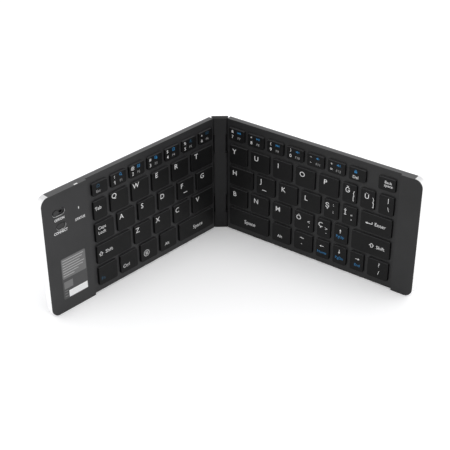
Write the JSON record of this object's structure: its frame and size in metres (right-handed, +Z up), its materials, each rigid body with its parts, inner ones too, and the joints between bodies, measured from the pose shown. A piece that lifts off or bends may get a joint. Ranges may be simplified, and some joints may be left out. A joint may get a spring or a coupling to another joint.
{
  "type": "folding keyboard",
  "caption": "Folding keyboard in two hinged halves with low dark keys, a narrow hinge spine, bright covers, a power slide switch and a round-cornered connect button.",
  "frame": {"origin": "middle of the outer box at the height of the long lower edges it stands on", "axes": "+Z up along the hinge lines, X across the width with the left half at -X, the keys face -Y"},
  "size_m": [0.2666, 0.123, 0.098],
  "materials": {
    "dark_shell": "satin",
    "cover": "brushed",
    "key": "matte",
    "steel": "satin",
    "flex": "satin",
    "rubber_sheet": "matte",
    "foot": "matte",
    "board": "satin",
    "chip": "matte",
    "light_guide": "satin",
    "cell": "satin",
    "label": "matte",
    "control": "satin"
  },
  "bodies": {
    "spine": {"spine_front_cover": "dark_shell", "spine_back_cover": "dark_shell", "hinge_pins": "steel", "spine_flex": "flex"},
    "left_panel": {"left_front_frame": "dark_shell", "left_back_cover": "cover", "left_key_plate": "steel", "left_membrane": "flex", "left_dome_sheet": "rubber_sheet", "left_rubber_feet": "foot", "left_cover_screws": "steel", "main_circuit_board": "board", "controller_chip": "chip", "power_switch_body": "steel", "connect_switch": "steel", "status_light_guide": "light_guide", "charging_port": "steel", "battery": "cell", "blank_label": "label"},
    "right_panel": {"right_front_frame": "dark_shell", "right_back_cover": "cover", "right_key_plate": "steel", "right_membrane": "flex", "right_dome_sheet": "rubber_sheet", "right_rubber_feet": "foot", "right_cover_screws": "steel"},
    "power_knob": {"power_switch_knob": "control"},
    "connect_key": {"connect_button": "control"},
    "key_esc_body": {"key_esc": "key"},
    "keys_1_to_6_body": {"keys_1_to_6": "key"},
    "key_tab_body": {"key_tab": "key"},
    "keys_q_to_t_body": {"keys_q_to_t": "key"},
    "key_caps_lock_body": {"key_caps_lock": "key"},
    "keys_a_to_g_body": {"keys_a_to_g": "key"},
    "key_f_body": {"key_f": "key"},
    "key_left_shift_body": {"key_left_shift": "key"},
    "keys_z_to_v_body": {"keys_z_to_v": "key"},
    "key_fn_body": {"key_fn": "key"},
    "key_ctrl_body": {"key_ctrl": "key"},
    "key_system_body": {"key_system": "key"},
    "key_left_alt_body": {"key_left_alt": "key"},
    "key_left_space_body": {"key_left_space": "key"},
    "keys_7_to_equals_body": {"keys_7_to_equals": "key"},
    "key_delete_body": {"key_delete": "key"},
    "key_backspace_body": {"key_backspace": "key"},
    "keys_y_to_bracket_body": {"keys_y_to_bracket": "key"},
    "key_backslash_body": {"key_backslash": "key"},
    "keys_h_to_quote_body": {"keys_h_to_quote": "key"},
    "key_j_body": {"key_j": "key"},
    "key_enter_body": {"key_enter": "key"},
    "keys_b_to_period_body": {"keys_b_to_period": "key"},
    "key_arrow_up_body": {"key_arrow_up": "key"},
    "key_right_shift_body": {"key_right_shift": "key"},
    "key_right_space_body": {"key_right_space": "key"},
    "key_right_alt_body": {"key_right_alt": "key"},
    "key_grave_body": {"key_grave": "key"},
    "key_arrow_left_body": {"key_arrow_left": "key"},
    "key_arrow_down_body": {"key_arrow_down": "key"},
    "key_arrow_right_body": {"key_arrow_right": "key"},
    "key_slash_body": {"key_slash": "key"}
  },
  "joints": [
    {"name": "left_hinge", "type": "hinge", "parent": "spine", "child": "left_panel", "pos_m": [-0.01223, 0.06037, 0], "axis": [0, 0, 1], "range_deg": [-45, 45]},
    {"name": "right_hinge", "type": "hinge", "parent": "spine", "child": "right_panel", "pos_m": [-0.00463, 0.06037, 0], "axis": [0, 0, -1], "range_deg": [-36, 54]},
    {"name": "power_slide", "type": "slide", "parent": "left_panel", "child": "power_knob", "axis": [0.7071, 0.7071, 0], "range_m": [0, 0.0044]},
    {"name": "connect_press", "type": "slide", "parent": "left_panel", "child": "connect_key", "axis": [-0.7071, 0.7071, 0], "range_m": [0, 0.0003], "stiffness_N_per_m": 1500, "springref_m": -0.0005},
    {"name": "key_esc_press", "type": "slide", "parent": "left_panel", "child": "key_esc_body", "axis": [-0.7071, 0.7071, 0], "range_m": [0, 0.001], "stiffness_N_per_m": 250, "springref_m": -0.001},
    {"name": "keys_1_to_6_press", "type": "slide", "parent": "left_panel", "child": "keys_1_to_6_body", "axis": [-0.7071, 0.7071, 0], "range_m": [0, 0.001], "stiffness_N_per_m": 1500, "springref_m": -0.001},
    {"name": "key_tab_press", "type": "slide", "parent": "left_panel", "child": "key_tab_body", "axis": [-0.7071, 0.7071, 0], "range_m": [0, 0.001], "stiffness_N_per_m": 250, "springref_m": -0.001},
    {"name": "keys_q_to_t_press", "type": "slide", "parent": "left_panel", "child": "keys_q_to_t_body", "axis": [-0.7071, 0.7071, 0], "range_m": [0, 0.001], "stiffness_N_per_m": 1250, "springref_m": -0.001},
    {"name": "key_caps_lock_press", "type": "slide", "parent": "left_panel", "child": "key_caps_lock_body", "axis": [-0.7071, 0.7071, 0], "range_m": [0, 0.001], "stiffness_N_per_m": 250, "springref_m": -0.001},
    {"name": "keys_a_to_g_press", "type": "slide", "parent": "left_panel", "child": "keys_a_to_g_body", "axis": [-0.7071, 0.7071, 0], "range_m": [0, 0.001], "stiffness_N_per_m": 1000, "springref_m": -0.001},
    {"name": "key_f_press", "type": "slide", "parent": "left_panel", "child": "key_f_body", "axis": [-0.7071, 0.7071, 0], "range_m": [0, 0.001], "stiffness_N_per_m": 250, "springref_m": -0.001},
    {"name": "key_left_shift_press", "type": "slide", "parent": "left_panel", "child": "key_left_shift_body", "axis": [-0.7071, 0.7071, 0], "range_m": [0, 0.001], "stiffness_N_per_m": 250, "springref_m": -0.001},
    {"name": "keys_z_to_v_press", "type": "slide", "parent": "left_panel", "child": "keys_z_to_v_body", "axis": [-0.7071, 0.7071, 0], "range_m": [0, 0.001], "stiffness_N_per_m": 1000, "springref_m": -0.001},
    {"name": "key_fn_press", "type": "slide", "parent": "left_panel", "child": "key_fn_body", "axis": [-0.7071, 0.7071, 0], "range_m": [0, 0.001], "stiffness_N_per_m": 250, "springref_m": -0.001},
    {"name": "key_ctrl_press", "type": "slide", "parent": "left_panel", "child": "key_ctrl_body", "axis": [-0.7071, 0.7071, 0], "range_m": [0, 0.001], "stiffness_N_per_m": 250, "springref_m": -0.001},
    {"name": "key_system_press", "type": "slide", "parent": "left_panel", "child": "key_system_body", "axis": [-0.7071, 0.7071, 0], "range_m": [0, 0.001], "stiffness_N_per_m": 250, "springref_m": -0.001},
    {"name": "key_left_alt_press", "type": "slide", "parent": "left_panel", "child": "key_left_alt_body", "axis": [-0.7071, 0.7071, 0], "range_m": [0, 0.001], "stiffness_N_per_m": 250, "springref_m": -0.001},
    {"name": "key_left_space_press", "type": "slide", "parent": "left_panel", "child": "key_left_space_body", "axis": [-0.7071, 0.7071, 0], "range_m": [0, 0.001], "stiffness_N_per_m": 250, "springref_m": -0.001},
    {"name": "keys_7_to_equals_press", "type": "slide", "parent": "right_panel", "child": "keys_7_to_equals_body", "axis": [0.5878, 0.809, 0], "range_m": [0, 0.001], "stiffness_N_per_m": 1500, "springref_m": -0.001},
    {"name": "key_delete_press", "type": "slide", "parent": "right_panel", "child": "key_delete_body", "axis": [0.5878, 0.809, 0], "range_m": [0, 0.001], "stiffness_N_per_m": 250, "springref_m": -0.001},
    {"name": "key_backspace_press", "type": "slide", "parent": "right_panel", "child": "key_backspace_body", "axis": [0.5878, 0.809, 0], "range_m": [0, 0.001], "stiffness_N_per_m": 250, "springref_m": -0.001},
    {"name": "keys_y_to_bracket_press", "type": "slide", "parent": "right_panel", "child": "keys_y_to_bracket_body", "axis": [0.5878, 0.809, 0], "range_m": [0, 0.001], "stiffness_N_per_m": 1750, "springref_m": -0.001},
    {"name": "key_backslash_press", "type": "slide", "parent": "right_panel", "child": "key_backslash_body", "axis": [0.5878, 0.809, 0], "range_m": [0, 0.001], "stiffness_N_per_m": 250, "springref_m": -0.001},
    {"name": "keys_h_to_quote_press", "type": "slide", "parent": "right_panel", "child": "keys_h_to_quote_body", "axis": [0.5878, 0.809, 0], "range_m": [0, 0.001], "stiffness_N_per_m": 1250, "springref_m": -0.001},
    {"name": "key_j_press", "type": "slide", "parent": "right_panel", "child": "key_j_body", "axis": [0.5878, 0.809, 0], "range_m": [0, 0.001], "stiffness_N_per_m": 250, "springref_m": -0.001},
    {"name": "key_enter_press", "type": "slide", "parent": "right_panel", "child": "key_enter_body", "axis": [0.5878, 0.809, 0], "range_m": [0, 0.001], "stiffness_N_per_m": 250, "springref_m": -0.001},
    {"name": "keys_b_to_period_press", "type": "slide", "parent": "right_panel", "child": "keys_b_to_period_body", "axis": [0.5878, 0.809, 0], "range_m": [0, 0.001], "stiffness_N_per_m": 1250, "springref_m": -0.001},
    {"name": "key_arrow_up_press", "type": "slide", "parent": "right_panel", "child": "key_arrow_up_body", "axis": [0.5878, 0.809, 0], "range_m": [0, 0.001], "stiffness_N_per_m": 250, "springref_m": -0.001},
    {"name": "key_right_shift_press", "type": "slide", "parent": "right_panel", "child": "key_right_shift_body", "axis": [0.5878, 0.809, 0], "range_m": [0, 0.001], "stiffness_N_per_m": 250, "springref_m": -0.001},
    {"name": "key_right_space_press", "type": "slide", "parent": "right_panel", "child": "key_right_space_body", "axis": [0.5878, 0.809, 0], "range_m": [0, 0.001], "stiffness_N_per_m": 250, "springref_m": -0.001},
    {"name": "key_right_alt_press", "type": "slide", "parent": "right_panel", "child": "key_right_alt_body", "axis": [0.5878, 0.809, 0], "range_m": [0, 0.001], "stiffness_N_per_m": 250, "springref_m": -0.001},
    {"name": "key_grave_press", "type": "slide", "parent": "right_panel", "child": "key_grave_body", "axis": [0.5878, 0.809, 0], "range_m": [0, 0.001], "stiffness_N_per_m": 250, "springref_m": -0.001},
    {"name": "key_arrow_left_press", "type": "slide", "parent": "right_panel", "child": "key_arrow_left_body", "axis": [0.5878, 0.809, 0], "range_m": [0, 0.001], "stiffness_N_per_m": 250, "springref_m": -0.001},
    {"name": "key_arrow_down_press", "type": "slide", "parent": "right_panel", "child": "key_arrow_down_body", "axis": [0.5878, 0.809, 0], "range_m": [0, 0.001], "stiffness_N_per_m": 250, "springref_m": -0.001},
    {"name": "key_arrow_right_press", "type": "slide", "parent": "right_panel", "child": "key_arrow_right_body", "axis": [0.5878, 0.809, 0], "range_m": [0, 0.001], "stiffness_N_per_m": 250, "springref_m": -0.001},
    {"name": "key_slash_press", "type": "slide", "parent": "right_panel", "child": "key_slash_body", "axis": [0.5878, 0.809, 0], "range_m": [0, 0.001], "stiffness_N_per_m": 250, "springref_m": -0.001}
  ]
}
